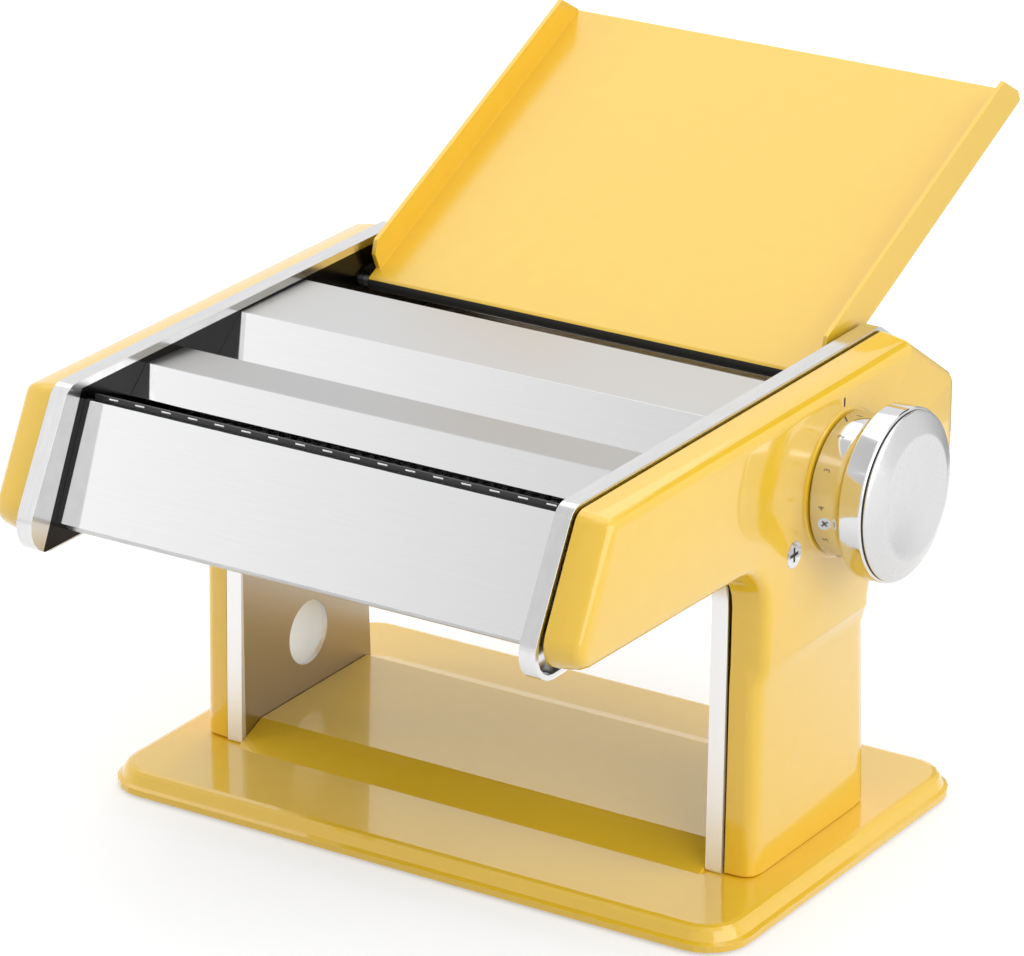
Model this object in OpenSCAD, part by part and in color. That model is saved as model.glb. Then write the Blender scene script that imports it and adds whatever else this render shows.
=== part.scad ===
// Hand-cranked pasta machine: a steel frame under painted covers carries a pair of smooth
// sheeting rollers, two pairs of grooved cutters, a pull-and-turn thickness knob and a hinged
// feed tray. Millimetres, X across the machine, the nose points to -Y, Z up from the underside.

/* [Frame] */
// Inner width between the two side plates
inner_w = 160; // [140:1:200]
// Width of the rolled rim of a side plate
rim_w = 5.2; // [4:0.1:8]
// Sheet thickness of a side plate
plate_t = 1.6; // [1:0.1:2.5]
// Height of the side plates' top edge
frame_top = 146; // [138:0.5:154]
// Height of the head's underside
head_low = 100.5; // [96:0.5:104]
// Leg's front edge
leg_front = -34.6; // [-38:0.1:-30]
// Leg's back edge
leg_back = 34.1; // [30:0.1:38]
// How far the leg's front edge leans back up to the head
lean_front = 2.1; // [0:0.1:4]
// How far the leg's back edge leans in up to the neck
lean_back = 3.2; // [0:0.1:4]

/* [Base] */
// Width of the base's top beyond a cover's leg
base_side = 9.8; // [5:0.1:18]
// Half depth of the base's top
base_half_d = 66.4; // [60:0.1:75]
// Corner radius of the base's top
base_corner = 11; // [6:0.5:16]
// Height of the base's top
base_top = 7.2; // [6:0.1:10]
// Height of the raised step between the legs
step_top = 12.4; // [10:0.1:15]
// Sheet thickness of the base
base_wall = 2; // [1.5:0.1:3]
// Rubber pad thickness
pad_t = 2; // [1.5:0.1:3]

/* [Covers] */
// Depth of the head part of a cover
cover_depth = 10.6; // [9:0.1:13]
// How far a cover's leg part steps in from its head part
leg_in = 2; // [1:0.1:3]
// Wall thickness of a cover
cover_wall = 2; // [1.2:0.1:2.5]
// Clamp hole radius
clamp_r = 10; // [8:0.1:12]
// Clamp hole height
clamp_z = 30.8; // [25:0.1:40]

/* [Rollers] */
// Radius of the smooth rollers
roller_r = 16; // [14:0.1:17]
// Height of the smooth rollers' axes
roller_z = 111; // [109:0.1:112]
// Front roller's axis
front_roller_y = -16.35; // [-17:0.05:-16]
// Gap between the smooth rollers at its widest
gap_max = 2.8; // [2:0.1:3]
// Gap change from the first to the last knob position
gap_travel = 2.5; // [1:0.1:2.6]
// Gap from a side plate to the working length of rollers and cutters
roll_end = 3.5; // [3:0.1:8]
// Roller journal radius
journal_r = 6; // [5:0.1:6.5]

/* [Cutters] */
// Outer radius of the cutter rings
ring_r = 10; // [9:0.1:10.2]
// Radius at the bottom of the cutter grooves
groove_r = 8; // [7:0.1:8.2]
// Distance between the two axes of a pair
cutter_span = 18.4; // [18.3:0.05:19]
// Height of the cutters' axes
cutter_z = 120.5; // [119:0.1:122]
// Wide pair's middle
wide_y = -93.4; // [-93.6:0.1:-92]
// Narrow pair's middle
narrow_y = -53.4; // [-55:0.1:-52]
// Ring spacing on the wide pair
wide_pitch = 9; // [8:0.1:10]
// Ring spacing on the narrow pair
narrow_pitch = 4; // [3.5:0.1:5]
// Cutter axle radius
axle_r = 4; // [3:0.1:5]

/* [Crank sockets] */
// Socket bore radius
socket_r = 4; // [3.5:0.1:4.5]
// Socket depth
socket_depth = 9; // [7:0.5:9.5]
// Hub radius on the cutters
hub_r = 6; // [5.5:0.1:7]
// Hub radius on the front roller
roller_hub_r = 7; // [6.5:0.1:8]

/* [Thickness knob] */
// Knob axis, back from the middle
knob_y = 10.65; // [10:0.05:12]
// Knob axis height
knob_z = 114.1; // [113:0.1:115]
// Barrel radius
barrel_r = 20.7; // [18:0.1:22]
// Flange radius
flange_r = 25.3; // [23:0.1:27]
// Length of the barrel with its flange
knob_len = 19; // [15:0.1:21]
// Dial shaft radius
dial_r = 5; // [4:0.1:6]
// Number of knob positions
positions = 7; // [5:1:9]
// Angle between two positions
position_step = 30; // [20:5:30]
// How far the knob pulls out
knob_pull = 5; // [4:0.5:6]

/* [Feed tray] */
// Gap between the tray and a side plate
tray_gap = 2.4; // [1.5:0.1:8]
// Length of the tray along its slope
tray_len = 126; // [90:1:140]
// Slope of the tray at rest
tray_slope = 25; // [20:0.5:27]
// Height of the side lips
lip_h = 10; // [6:0.5:12]
// Tray sheet thickness
tray_t = 1.5; // [1:0.1:2]
// Hinge axis, back from the middle
hinge_y = 33; // [32.6:0.1:33.4]
// Hinge axis height
hinge_z = 133.4; // [133:0.1:134]
// Hinge rod radius
hinge_r = 1.5; // [1.2:0.1:1.8]

/* [Plates and fits] */
// Sheet thickness of the guide plates
guide_t = 1.2; // [0.8:0.1:1.5]
// Running clearance of shafts, on the radius
run_gap = 0.05; // [0.02:0.01:0.1]
// Gap between pieces that move past each other
pass_gap = 0.3; // [0.2:0.05:0.5]

/* [Hidden] */
$fn = 96;
half = inner_w / 2;
rim_x = half + rim_w;
web_x = half + plate_t;
cover_x = rim_x + 0.7;
cover_face = cover_x + cover_depth;
leg_face = cover_face - leg_in;
cavity_x = cover_face - cover_wall;
base_half_w = leg_face + base_side;
roll_half = half - roll_end;
tray_half = half - tray_gap;
barrel_x = cover_face + 0.7;
flange_x = barrel_x + knob_len;
rear_roller_y = front_roller_y + 2 * roller_r + gap_max;
throw = gap_travel / 2;
shoulder_x = half - pass_gap;
nose_top_y = -113.6;
nose_low_y = -138.8;
head_back = 79;
chamfer_y = 50.8;
chamfer_z = 127;
arm_z = 98;
neck_z = 80;
arc_steps = 6;
foot_x = half + 6;
cover_foot = base_top + 0.2;
foot_top = cover_foot + cover_wall + 0.1;
step_low = 65;
step_high = 71.4;
step_mid = (step_low + step_high) / 2;
foot_y = 20;
screw_y = -16.05;
screw_z = 101.1;
left_screw_y = -31;
left_screw_z = 133;
tie_r = 4;
tie_thread = 2.5;
tie_at = [[-113, 107.2], [-73.5, 107.2], [66, 112]];
gear_x = web_x + 1.6;
gear_w = 4;
roller_gear_x = web_x + 2;
roller_gear_w = 5;
hub_x = cover_face + 1.3;
hub_start = web_x + 1.2;
bush_wall = 2;
block_in = roll_half + 0.7;
block_half_y = 10;
block_half_z = 12;
block_out = half + 4.6;
pin_r = 2.5;
index_x = half + 6.5;
index_face = index_x + 4;
index_r = 15;
index_pin_r = 1.5;
stem_r = 4;
stem_end = barrel_x + 12.9;
nose_lift = [2.2, 2.5, 0];
spring_x = barrel_x + 4;
knuckle_r = 2.4;
yellow = [0.96, 0.78, 0.25];
steel = [0.80, 0.82, 0.84];
chrome = [0.88, 0.89, 0.91];
nylon = [0.90, 0.90, 0.86];
dark = [0.18, 0.18, 0.19];

// Unit vector, left normal, and a vector turned by an angle
function unit(v) = v / norm(v);
function left(v) = [-v[1], v[0]];
function turned(v, a) = [v[0] * cos(a) - v[1] * sin(a), v[0] * sin(a) + v[1] * cos(a)];
function turn(a, b, c) = atan2(cross(b - a, c - b), (b - a) * (c - b));

// Corner b of a loop moved inwards by d
function moved(a, b, c, d) = let(n0 = left(unit(b - a)), n1 = left(unit(c - b)))
  b + d * (n0 + n1) / (1 + n0 * n1);

// Points of a rounded corner
function corner(a, b, c, r) = let(d0 = unit(b - a), n0 = left(d0), w = turn(a, b, c),
  s = sign(w), p = b - d0 * r * tan(abs(w) / 2) + n0 * s * r)
  abs(w) < 0.01 ? [b] : [for (k = [0:arc_steps]) p - s * r * turned(n0, w * k / arc_steps)];

// Rounded loop from corners [y, z, r], moved inwards by d
function loop(list, d) = let(n = len(list), p = [for (c = list) [c[0], c[1]]],
  q = [for (i = [0:n - 1]) moved(p[(i + n - 1) % n], p[i], p[(i + 1) % n], d)])
  [for (i = [0:n - 1]) let(a = q[(i + n - 1) % n], b = q[i], c = q[(i + 1) % n])
    each corner(a, b, c, max(list[i][2] - sign(turn(a, b, c)) * d, 1))];

// Outline of a bent sheet: the path, and the same path moved to its left by t
function sheet(path, t) = let(n = len(path), far = [for (i = [0:n - 1])
  i == 0 ? path[0] + t * left(unit(path[1] - path[0])) :
  i == n - 1 ? path[i] + t * left(unit(path[i] - path[i - 1])) :
  moved(path[i - 1], path[i], path[i + 1], t)])
  concat(path, [for (i = [n - 1:-1:0]) far[i]]);

// Leaning front and back edges of the leg at a height
function front_y(z) = leg_front + lean_front * (z - base_top) / (head_low - base_top);
function back_y(z) = leg_back - lean_back * (z - base_top) / (neck_z - base_top);

// Side view of the frame: leg, back, top, nose and head, counter-clockwise
function side_view(foot_z) = [[front_y(foot_z), foot_z, 1], [back_y(foot_z), foot_z, 1],
  [back_y(neck_z), neck_z, 12], [head_back, arm_z, 8], [head_back, chamfer_z, 8],
  [chamfer_y, frame_top, 5], [nose_top_y, frame_top, 6], [nose_low_y, head_low, 9],
  [front_y(head_low), head_low, 12]];

// Outline of a cover, with marks on the leg's edges where its face steps in
function cover_view(foot_z) = let(v = side_view(foot_z)) concat([v[0], v[1],
  [back_y(step_low), step_low, 1], [back_y(step_high), step_high, 1]],
  [for (i = [2:6]) v[i]], [v[7] + nose_lift, v[8], [front_y(step_high), step_high, 1],
    [front_y(step_low), step_low, 1]]);

// Ring of a cover above its foot: head points at one depth and inset, leg points at another
function cover_ring(h, l, foot) = let(p = loop(cover_view(foot - h[1]), h[1]),
  q = loop(cover_view(foot - l[1]), l[1]))
  [for (i = [0:len(p) - 1]) p[i][1] > step_mid ? [h[0], p[i][0], p[i][1]] :
    [l[0], q[i][0], q[i][1]]];

// Convex pieces of a cover's face in its ring's point order: leg, step and neck
function low_cap(k, n) = [concat([n - 1], [for (j = [0:2 * k]) j]),
  [n - 1, 2 * k, 2 * k + 1, n - 2], [n - 2, 2 * k + 1, 2 * k + 2, n - 3]];

// Whole face of a cover whose ring starts at point s: its head fans out from point c
function cover_cap(s, c) = let(k = arc_steps + 1, n = 9 * k + 4) concat(
  [for (f = low_cap(k, n)) [for (j = f) j + s]],
  [for (j = [2 * k + 2:n - 4]) [c, j + s, j + 1 + s]],
  [[c, n - 3 + s, 2 * k + 2 + s]]);

// Base outline with its corners, grown by g
function base_view(g) = let(x = base_half_w, y = base_half_d)
  loop([[-x, -y, base_corner], [x, -y, base_corner], [x, y, base_corner],
    [-x, y, base_corner]], -g);

// Involute gear outline around the origin, tooth 0 on the first axis when shift is 0
function involute(r, a) = r * [cos(a) + a * PI / 180 * sin(a), sin(a) - a * PI / 180 * cos(a)];
function roll_angle(base, r) = sqrt(max(pow(r / base, 2) - 1, 0)) * 180 / PI;
function flank(base, r, slim) = let(p = involute(base, roll_angle(base, r)))
  atan2(p[1], p[0]) - slim;
function gear_view(teeth, m, add, ded, slim, shift) = let(pr = teeth * m / 2,
  base = pr * cos(20), low = pr - ded, top = pr + add, start = max(base, low),
  radii = [for (k = [0:4]) start + (top - start) * k / 4],
  mid = flank(base, pr, 0), w = 90 / teeth - slim)
  [for (i = [0:teeth - 1]) let(c = 360 * (i + shift) / teeth) each concat(
    [low * [cos(c - w - mid + flank(base, start, 0)), sin(c - w - mid + flank(base, start, 0))]],
    [for (r = radii) let(a = c - w - mid + flank(base, r, 0)) r * [cos(a), sin(a)]],
    [for (k = [4:-1:0]) let(r = radii[k], a = c + w + mid - flank(base, r, 0))
      r * [cos(a), sin(a)]],
    [low * [cos(c + w + mid - flank(base, start, 0)), sin(c + w + mid - flank(base, start, 0))]])];

// Solid through a list of rings with equal point counts
module loft(rings) {
  n = len(rings[0]);
  m = len(rings);
  points = [for (r = rings) each r];
  sides = [for (i = [0:m - 2]) for (k = [0:n - 1]) let(a = i * n + k, b = i * n + (k + 1) % n)
    each [[a, b + n, b], [a, a + n, b + n]]];
  first = [[for (k = [0:n - 1]) k]];
  last = [[for (k = [n - 1:-1:0]) (m - 1) * n + k]];
  polyhedron(points = points, faces = concat(first, sides, last), convexity = 8);
}

// Rings across X and across Z
function ring_x(x, p) = [for (q = p) [x, q[0], q[1]]];
function ring_z(z, p) = [for (q = p) [q[0], q[1], z]];

// Prism along X of an outline in Y and Z
module prism_x(x0, x1, p) {
  translate([x0, 0, 0])
    rotate([90, 0, 90])
      linear_extrude(x1 - x0)
        polygon(p);
}

// Cylinder along X
module bar_x(x0, x1, y, z, r) {
  translate([x0, y, z])
    rotate([0, 90, 0])
      cylinder(r = r, h = x1 - x0);
}

// Body of revolution about an axis along X, from [radius, x] points
module spun_x(y, z, p) {
  translate([0, y, z])
    rotate([0, 90, 0])
      rotate_extrude()
        polygon(p);
}

// Gear on an axis along X
module gear_x_at(x0, x1, y, z, p, bore) {
  translate([0, y, z])
    difference() {
      prism_x(x0, x1, p);
      bar_x(x0 - 1, x1 + 1, 0, 0, bore);
    }
}

// Hex nut along X
module nut_x(x0, x1, y, z, flat, bore) {
  difference() {
    translate([x0, y, z])
      rotate([0, 90, 0])
        cylinder(r = flat / 2 / cos(30), h = x1 - x0, $fn = 6);
    bar_x(x0 - 1, x1 + 1, y, z, bore);
  }
}

// Pressed base with a raised step between the legs and a recess below for the pad
module base_plate() {
  lip = 3;
  rings = [[0.6, lip], [2.6, lip], [3.2, 1.7], [6, 0.5], [6.8, -0.3], [base_top, -1.6]];
  color(yellow)
    difference() {
      union() {
        loft([for (r = rings) ring_z(r[0], base_view(r[1]))]);
        prism_x(-half + 0.2, half - 0.2, [[leg_front - 2.7, base_top - 1],
          [leg_front - 2.7, base_top], [leg_front + 10, step_top], [leg_back - 3.1, step_top],
          [leg_back + 9.6, base_top], [leg_back + 9.6, base_top - 1]]);
      }
      translate([0, 0, -1])
        linear_extrude(1 + pad_t)
          polygon(base_view(-1));
      translate([-base_half_w + 4, -base_half_d + 4, 0])
        cube([2 * base_half_w - 8, 2 * base_half_d - 8, base_top - base_wall]);
      prism_x(-half + 2.2, half - 2.2, [[-35, base_top - base_wall - 1],
        [-35, base_top - base_wall], [-24, step_top - base_wall], [30.4, step_top - base_wall],
        [41.4, base_top - base_wall], [41.4, base_top - base_wall - 1]]);
      for (x = [-foot_x, foot_x], y = [-foot_y, foot_y])
        translate([x, y, 0])
          cylinder(r = 2.2, h = base_top + 1);
    }
}

// Rubber sheet under the base, with holes to reach the foot screws
module non_slip_pad() {
  color(dark)
    difference() {
      linear_extrude(pad_t)
        polygon(base_view(-1 - pass_gap));
      for (x = [-foot_x, foot_x], y = [-foot_y, foot_y])
        translate([x, y, -1])
          cylinder(r = 5, h = pad_t + 2);
    }
}

// Side plate with its rolled rim, foot tab and the holes that both sides share
module plate_blank() {
  difference() {
    union() {
      difference() {
        prism_x(half, rim_x, loop(side_view(base_top), 0));
        prism_x(web_x, rim_x + 1, loop(side_view(base_top), plate_t));
      }
      translate([half, -27, foot_top])
        cube([9.7, 54, plate_t]);
    }
    for (y = [-foot_y, foot_y])
      translate([foot_x, y, 0])
        cylinder(r = 2.2, h = foot_top + plate_t + 1);
    for (t = tie_at)
      bar_x(half - 1, web_x + 1, t[0], t[1], tie_thread + 0.1);
    for (y = cutter_axes())
      bar_x(half - 1, web_x + 1, y, cutter_z, axle_r + bush_wall);
    bar_x(half - 1, web_x + 1, front_roller_y, roller_z, journal_r + bush_wall);
    bar_x(half - 1, web_x + 1, hinge_y, hinge_z, hinge_r + 0.02);
    translate([half - 1, rear_roller_y - block_half_y - gap_travel - pass_gap,
      roller_z - block_half_z - 0.1])
      cube([plate_t + 2, 2 * block_half_y + gap_travel + 2 * pass_gap, 2 * block_half_z + 0.2]);
  }
}

function cutter_axes() = [wide_y - cutter_span / 2, wide_y + cutter_span / 2,
  narrow_y - cutter_span / 2, narrow_y + cutter_span / 2];

// Left side plate, with the clamp hole in its leg
module left_side_plate() {
  color(chrome)
    mirror([1, 0, 0])
      difference() {
        plate_blank();
        bar_x(half - 1, web_x + 1, 0.8, clamp_z, clamp_r);
      }
}

// Right side plate
module right_side_plate() {
  color(chrome)
    plate_blank();
}

// Hollow cover, open towards the side plate; the head's face stands out further than the leg's
module cover_shell() {
  head = [[cover_x, 1.2], [cover_x + 4, 1.7], [cover_face - 2.6, 2.4], [cover_face - 1.2, 3.1],
    [cover_face - 0.35, 4.2], [cover_face, 5.8]];
  leg = [[cover_x, 0.8], [leg_face - 3.7, 1.1], [leg_face - 1.9, 1.8], [leg_face - 0.7, 3.2],
    [leg_face - 0.2, 5], [leg_face, 7.5]];
  deep = [[cavity_x, 7], [cover_x + 2.1, 2 + cover_wall], [cover_x, 1.2 + cover_wall]];
  deep_leg = [[leg_face - cover_wall, 7.6], deep[1], deep[2]];
  rings = concat([for (i = [0:2]) cover_ring(deep[i], deep_leg[i], cover_foot + cover_wall)],
    [for (i = [0:5]) cover_ring(head[i], leg[i], cover_foot)]);
  n = len(rings[0]);
  m = len(rings);
  sides = [for (i = [0:m - 2]) for (j = [0:n - 1]) let(a = i * n + j, b = i * n + (j + 1) % n)
    each [[a, b + n, b], [a, a + n, b + n]]];
  points = concat([for (r = rings) each r],
    [[cavity_x, knob_y, knob_z], [cover_face, knob_y, knob_z]]);
  back = cover_cap(0, m * n);
  front = [for (f = cover_cap((m - 1) * n, m * n + 1)) [for (j = [0:len(f) - 1])
    f[(len(f) - j) % len(f)]]];
  difference() {
    polyhedron(points = points, faces = concat(sides, back, front), convexity = 8);
    for (y = [-foot_y, foot_y])
      translate([foot_x, y, 0])
        cylinder(r = 2.4, h = foot_top);
  }
}

// Countersunk hole for a cover screw
module screw_hole(y, z) {
  bar_x(cavity_x - 1, cover_face + 1, y, z, 2.2);
  spun_x(y, z, [[0, cover_face - 1.8], [2.2, cover_face - 1.8], [4.1, cover_face + 0.1],
    [4.1, cover_face + 1], [0, cover_face + 1]]);
}

// Left cover, with three crank openings and the clamp hole
module left_cover() {
  color(yellow)
    mirror([1, 0, 0])
      difference() {
        cover_shell();
        screw_hole(left_screw_y, left_screw_z);
        for (y = [wide_y + cutter_span / 2, narrow_y + cutter_span / 2])
          bar_x(cavity_x - 1, cover_face + 1, y, cutter_z, hub_r + pass_gap);
        bar_x(cavity_x - 1, cover_face + 1, front_roller_y, roller_z, roller_hub_r + pass_gap);
        bar_x(leg_face - cover_wall - 1, leg_face + 1, 0.8, clamp_z, clamp_r);
      }
}

// Right cover, with the knob's opening and raised seat and the index mark
module right_cover() {
  color(yellow)
    difference() {
      union() {
        cover_shell();
        spun_x(knob_y, knob_z, [[0, cavity_x + 0.5], [22.3, cavity_x + 0.5],
          [22.3, cover_face - 0.3], [21.3, cover_face + 0.4], [0, cover_face + 0.4]]);
      }
      screw_hole(screw_y, screw_z);
      bar_x(cavity_x - 1, cover_face + 2, knob_y, knob_z, barrel_r - 2);
      translate([cover_face - 0.5, knob_y - 0.4, knob_z + 22.4])
        cube([2, 0.8, 2.8]);
    }
}

// Sleeve that lines the clamp hole between the left side plate and its cover
module clamp_sleeve() {
  color(nylon)
    difference() {
      bar_x(cover_wall - leg_face, -web_x, 0.8, clamp_z, clamp_r + 1.2);
      bar_x(-leg_face, -half, 0.8, clamp_z, clamp_r);
    }
}

// Posts that the cover screws bite into
module cover_posts() {
  color(steel)
    for (p = [[1, screw_y, screw_z], [-1, left_screw_y, left_screw_z]])
      difference() {
        bar_x(p[0] > 0 ? web_x : -cavity_x, p[0] > 0 ? cavity_x : -web_x, p[1], p[2], 3);
        bar_x(p[0] > 0 ? web_x + 1 : -cavity_x - 1, p[0] > 0 ? cavity_x + 1 : -web_x - 1,
          p[1], p[2], 1.6);
      }
}

// Countersunk cross-head screw
module cover_screw() {
  difference() {
    spun_x(0, 0, [[0, web_x + 2], [1.55, web_x + 2], [1.55, cover_face - 1.9],
      [3.9, cover_face], [0, cover_face]]);
    translate([cover_face - 0.9, -0.5, -2.2])
      cube([2, 1, 4.4]);
    translate([cover_face - 0.9, -2.2, -0.5])
      cube([2, 4.4, 1]);
  }
}

// Screws of the two covers
module cover_screws() {
  color(steel) {
    translate([0, screw_y, screw_z])
      cover_screw();
    mirror([1, 0, 0])
      translate([0, left_screw_y, left_screw_z])
        cover_screw();
  }
}

// Screws that hold the legs to the base, from below
module foot_screws() {
  top = base_top - base_wall;
  color(steel)
    for (x = [-foot_x, foot_x], y = [-foot_y, foot_y])
      translate([x, y, top - 2]) {
        cylinder(r = 3.8, h = 2);
        cylinder(r = 2, h = foot_top + plate_t + 3.5 - top + 2);
      }
}

// Nuts of the foot screws, on the foot tabs
module foot_nuts() {
  color(steel)
    for (x = [-foot_x, foot_x], y = [-foot_y, foot_y])
      translate([x, y, foot_top + plate_t])
        difference() {
          cylinder(r = 7 / 2 / cos(30), h = 3, $fn = 6);
          translate([0, 0, -1])
            cylinder(r = 2.05, h = 5);
        }
}

// Rods that hold the side plates apart
module tie_rods() {
  color(steel)
    for (t = tie_at) {
      bar_x(-half, half, t[0], t[1], tie_r);
      bar_x(-web_x - 4.2, web_x + 4.2, t[0], t[1], tie_thread);
    }
}

// Nuts of the tie rods
module tie_nuts() {
  color(steel)
    for (t = tie_at) {
      nut_x(web_x, web_x + 4, t[0], t[1], 8, tie_thread + 0.05);
      nut_x(-web_x - 4, -web_x, t[0], t[1], 8, tie_thread + 0.05);
    }
}

// Folded guide sheet from one side plate to the other
module guide(path) {
  color(chrome)
    prism_x(-half, half, sheet(path, guide_t));
}

// Mirror-bright plate in front of the wide cutters
module front_plate() {
  guide([[-103.6, 139.4], [-106.2, 140], [-121.2, 108.1], [-117.5, 107.4]]);
}

// Folded guide between the wide and the narrow cutters, sloping down into the wide slot
module divider_plate() {
  guide([[-61.2, 131.6], [-59.4, 141], [-77.2, 141.8], [-85.2, 134.4]]);
}

// Folded guide over the front roller, sloping down into the narrow slot
module roller_guard() {
  guide([[0.6, 134], [1.9, 142.8], [-31.1, 143], [-43.2, 132.6]]);
}

// Plate that closes the back of the head and props the tray
module rear_panel() {
  guide([[75.6, 101.5], [75.6, 123.6], [49.2, 139.4]]);
}

// Bushes of the front roller
module roller_bushes() {
  color(nylon)
    for (s = [0, 1])
      mirror([s, 0, 0])
        spun_x(front_roller_y, roller_z, [[journal_r + run_gap, half],
          [journal_r + bush_wall, half], [journal_r + bush_wall, web_x],
          [journal_r + run_gap, web_x]]);
}

// Bushes of the four cutters
module cutter_bushes() {
  color(nylon)
    for (s = [0, 1], y = cutter_axes())
      mirror([s, 0, 0])
        spun_x(y, cutter_z, [[axle_r + run_gap, half], [axle_r + bush_wall, half],
          [axle_r + bush_wall, web_x], [axle_r + bush_wall + 1.4, web_x],
          [axle_r + bush_wall + 1.4, web_x + 1], [axle_r + run_gap, web_x + 1]]);
}

// Scraper bar under the front roller
module front_scraper() {
  color(dark)
    translate([-half, front_roller_y, roller_z])
      rotate([30, 0, 0])
        translate([0, -1.5, -roller_r - 7])
          cube([2 * half, 3, 6.65]);
}

// Comb under a cutter: a bar and one finger for every groove
module comb(y, side, pitch, first, count, finger) {
  difference() {
    union() {
      translate([-half, y - 5, cutter_z - 15.5])
        cube([2 * half, 10, 3.5]);
      for (i = [0:count - 1])
        prism_x(first + i * pitch - finger / 2, first + i * pitch + finger / 2,
          [for (p = [[-4.5, -13], [4.5, -13], [7, -7.2], [4.5, -6], [-4.5, -7]])
            [y + side * p[0], cutter_z + p[1]]]);
    }
    bar_x(-half - 1, half + 1, y, cutter_z, groove_r + pass_gap);
  }
}

function ring_count(pitch) = floor(2 * roll_half / pitch - 0.5);
function ring_x0(pitch) = -pitch * (ring_count(pitch) - 1) / 2;

// Combs that strip the pasta out of the wide cutters
module wide_combs() {
  n = ring_count(wide_pitch);
  x0 = ring_x0(wide_pitch);
  color(dark) {
    comb(wide_y - cutter_span / 2, 1, wide_pitch, x0 + wide_pitch / 2, n - 1, 3.9);
    comb(wide_y + cutter_span / 2, -1, wide_pitch, x0, n, 3.9);
  }
}

// Combs that strip the pasta out of the narrow cutters
module narrow_combs() {
  n = ring_count(narrow_pitch);
  x0 = ring_x0(narrow_pitch);
  color(dark) {
    comb(narrow_y - cutter_span / 2, 1, narrow_pitch, x0 + narrow_pitch / 2, n - 1, 1.5);
    comb(narrow_y + cutter_span / 2, -1, narrow_pitch, x0, n, 1.5);
  }
}

// Rod that the tray hinges on
module tray_hinge_rod() {
  color(steel)
    bar_x(-web_x, web_x, hinge_y, hinge_z, hinge_r);
}

// Plate behind the knob: a groove for the index pin and one hole for each position
module index_plate() {
  color(steel)
    difference() {
      translate([index_x, knob_y - 22.3, knob_z - 18])
        cube([index_face - index_x - 0.6, 44.6, 36]);
      bar_x(index_x - 1, index_face + 1, knob_y, knob_z, dial_r + bush_wall);
      spun_x(knob_y, knob_z, [[index_r - index_pin_r - pass_gap, index_face - 2.5],
        [index_r + index_pin_r + pass_gap, index_face - 2.5],
        [index_r + index_pin_r + pass_gap, index_face + 1],
        [index_r - index_pin_r - pass_gap, index_face + 1]]);
      for (i = [0:positions - 1])
        translate([0, knob_y, knob_z])
          rotate([-i * position_step, 0, 0])
            bar_x(index_x - 1, index_face, 0, index_r, index_pin_r + 0.1);
    }
}

// Posts between the side plate and the index plate
module index_posts() {
  color(steel)
    for (p = [[-19.8, -14.5], [-19.8, 14.5], [19.8, 14.5]])
      bar_x(web_x, index_x, knob_y + p[0], knob_z + p[1], 2.4);
}

// Bush of the dial shaft
module dial_bush() {
  color(nylon)
    spun_x(knob_y, knob_z, [[dial_r + run_gap, index_x], [dial_r + bush_wall, index_x],
      [dial_r + bush_wall, index_face], [dial_r + run_gap, index_face]]);
}

// Front roller, driven by the crank
module front_roller() {
  color(steel)
    spun_x(front_roller_y, roller_z, [[0, -hub_start], [journal_r, -hub_start],
      [journal_r, -shoulder_x], [9, -shoulder_x], [9, -roll_half], [roller_r, -roll_half],
      [roller_r, roll_half], [9, roll_half], [9, shoulder_x], [journal_r, shoulder_x],
      [journal_r, web_x + 1.6], [0, web_x + 1.6]]);
}

// Gear on the front roller's left end
module front_roller_gear() {
  color(nylon)
    gear_x_at(-roller_gear_x - roller_gear_w, -roller_gear_x, front_roller_y, roller_z,
      gear_view(16, 2, 2, 2.6, 1.1, 0), roller_hub_r);
}

// Crank socket with a mouth slot for the crank's cross pin
module hub(y, z, r) {
  difference() {
    bar_x(-hub_x, -hub_start, y, z, r);
    bar_x(-hub_x - 1, -hub_x + socket_depth, y, z, socket_r);
    translate([-hub_x - 1, y - 1.1, z - r - 1])
      cube([3.4, 2.2, 2 * r + 2]);
  }
}

// Crank socket of the front roller
module front_roller_hub() {
  color(steel)
    hub(front_roller_y, roller_z, roller_hub_r);
}

// Sliding bearing block with a flange outside the side plate
module block(out) {
  difference() {
    union() {
      translate([block_in, rear_roller_y - block_half_y, roller_z - 17.5])
        cube([shoulder_x - block_in, 28, 29.5]);
      translate([block_in, rear_roller_y - block_half_y, roller_z - block_half_z])
        cube([out - block_in, 2 * block_half_y, 2 * block_half_z]);
      translate([web_x + pass_gap, rear_roller_y - block_half_y - 2.5,
        roller_z - block_half_z - 2.5])
        cube([out - web_x - pass_gap, 2 * block_half_y + 5, 2 * block_half_z + 5]);
    }
    bar_x(block_in - 1, web_x + 0.2, rear_roller_y, roller_z, journal_r + run_gap);
  }
}

// Bearing blocks of the rear roller, the right one with the eccentric pin's slot
module bearing_blocks() {
  slot_y = pin_r + 0.35;
  slot_z = pin_r + throw + 0.4;
  color(nylon) {
    difference() {
      block(block_out);
      translate([block_out - 2.5, knob_y + throw - slot_y, knob_z - slot_z])
        cube([3, 2 * slot_y, 2 * slot_z]);
    }
    mirror([1, 0, 0])
      difference() {
        block(roller_gear_x - 0.5);
        bar_x(block_in - 1, block_out + 1, rear_roller_y, roller_z, journal_r + run_gap);
      }
  }
}

// Scraper bar of the rear roller, which also ties the two blocks together
module rear_scraper() {
  color(dark)
    translate([-block_in, rear_roller_y, roller_z])
      rotate([-30, 0, 0])
        translate([0, -1.5, -roller_r - 7])
          cube([2 * block_in, 3, 6.65]);
}

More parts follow.
